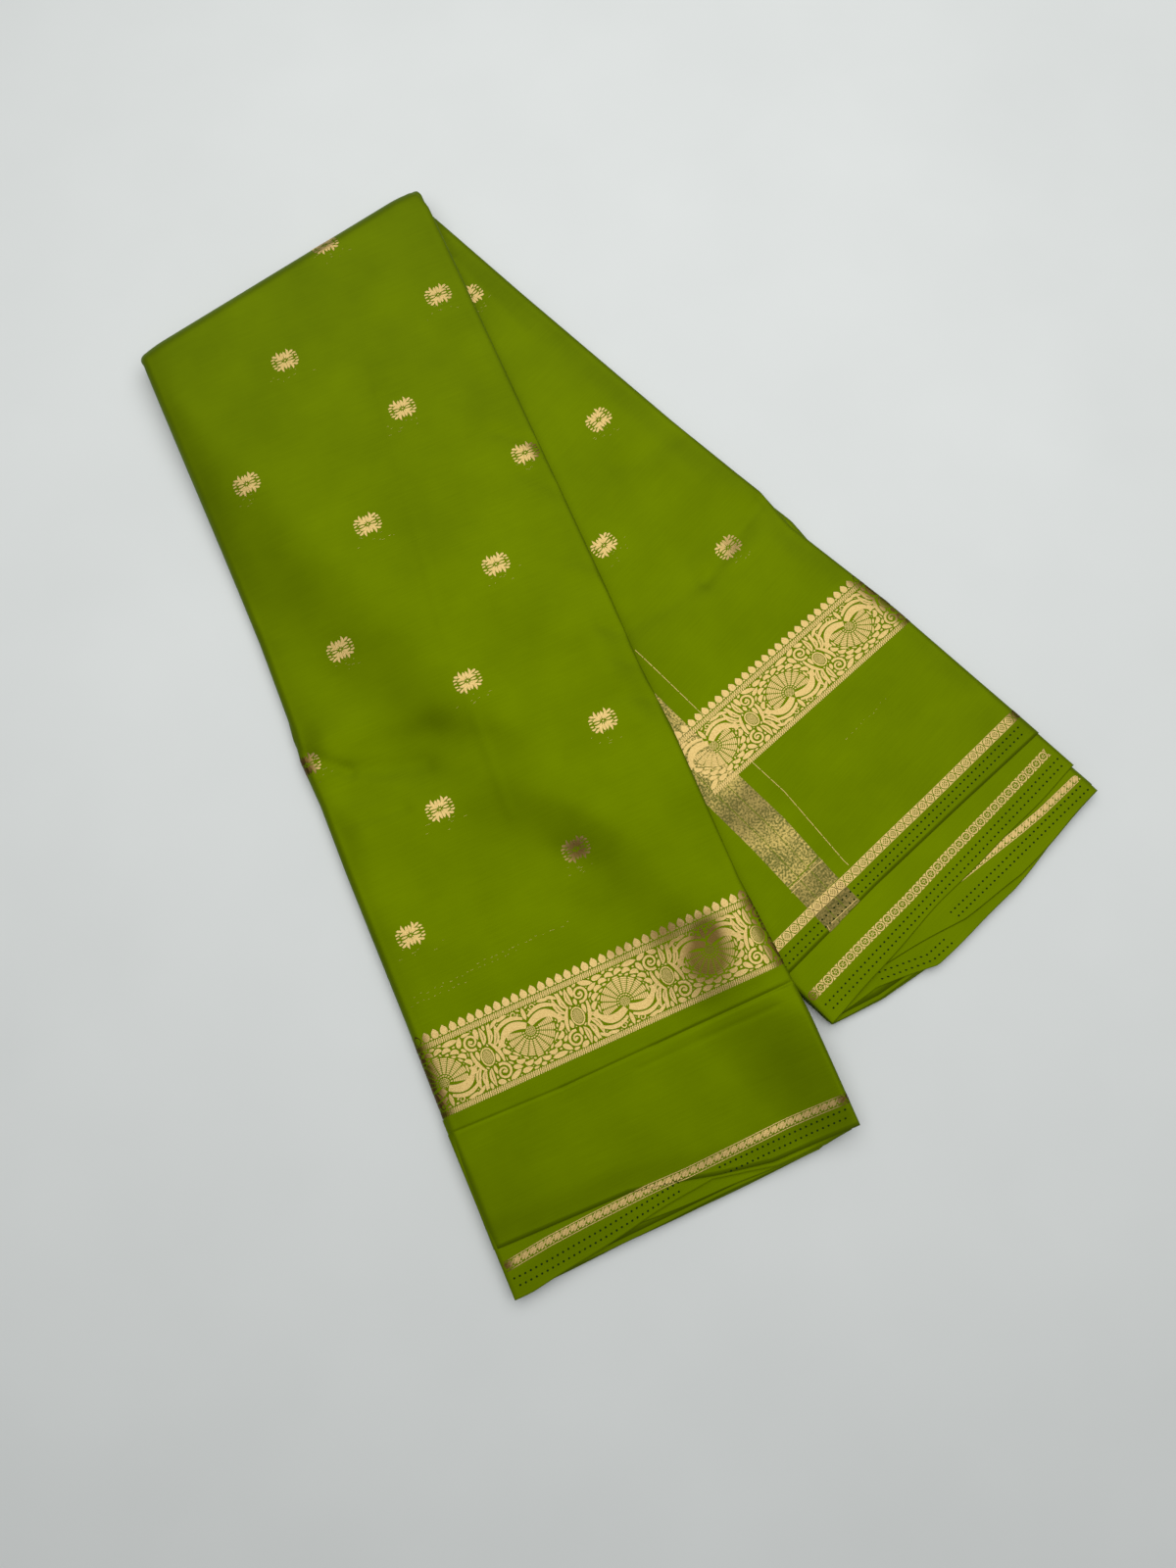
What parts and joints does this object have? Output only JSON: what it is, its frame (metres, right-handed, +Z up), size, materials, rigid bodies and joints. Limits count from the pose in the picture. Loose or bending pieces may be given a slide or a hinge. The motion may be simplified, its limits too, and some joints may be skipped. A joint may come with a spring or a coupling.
{
  "type": "folded saree",
  "caption": "Silk saree with woven gold borders and sprigs, folded to a long strip, doubled over on a slant and laid flat.",
  "frame": {"origin": "middle of the folded cloth's outline, on the surface that it lies on", "axes": "+Z up from the surface; +Y towards the head fold; +X towards the open end of the lower leg"},
  "size_m": [0.5466, 0.6328, 0.0198],
  "materials": {
    "silk_satin": "satin",
    "silk_plies": "satin",
    "silk_selvedge": "satin",
    "gold_zari": "satin"
  },
  "bodies": {
    "root": {"upper_leg_face": "silk_satin", "head_fold": "silk_satin", "upper_leg_layers": "silk_plies", "upper_selvedge_2": "silk_selvedge", "upper_selvedge_3": "silk_selvedge", "lower_leg_face": "silk_satin", "lower_leg_layers": "silk_plies", "lower_selvedge_2": "silk_selvedge", "lower_selvedge_3": "silk_selvedge", "lower_selvedge_4": "silk_selvedge"}
  },
  "joints": []
}
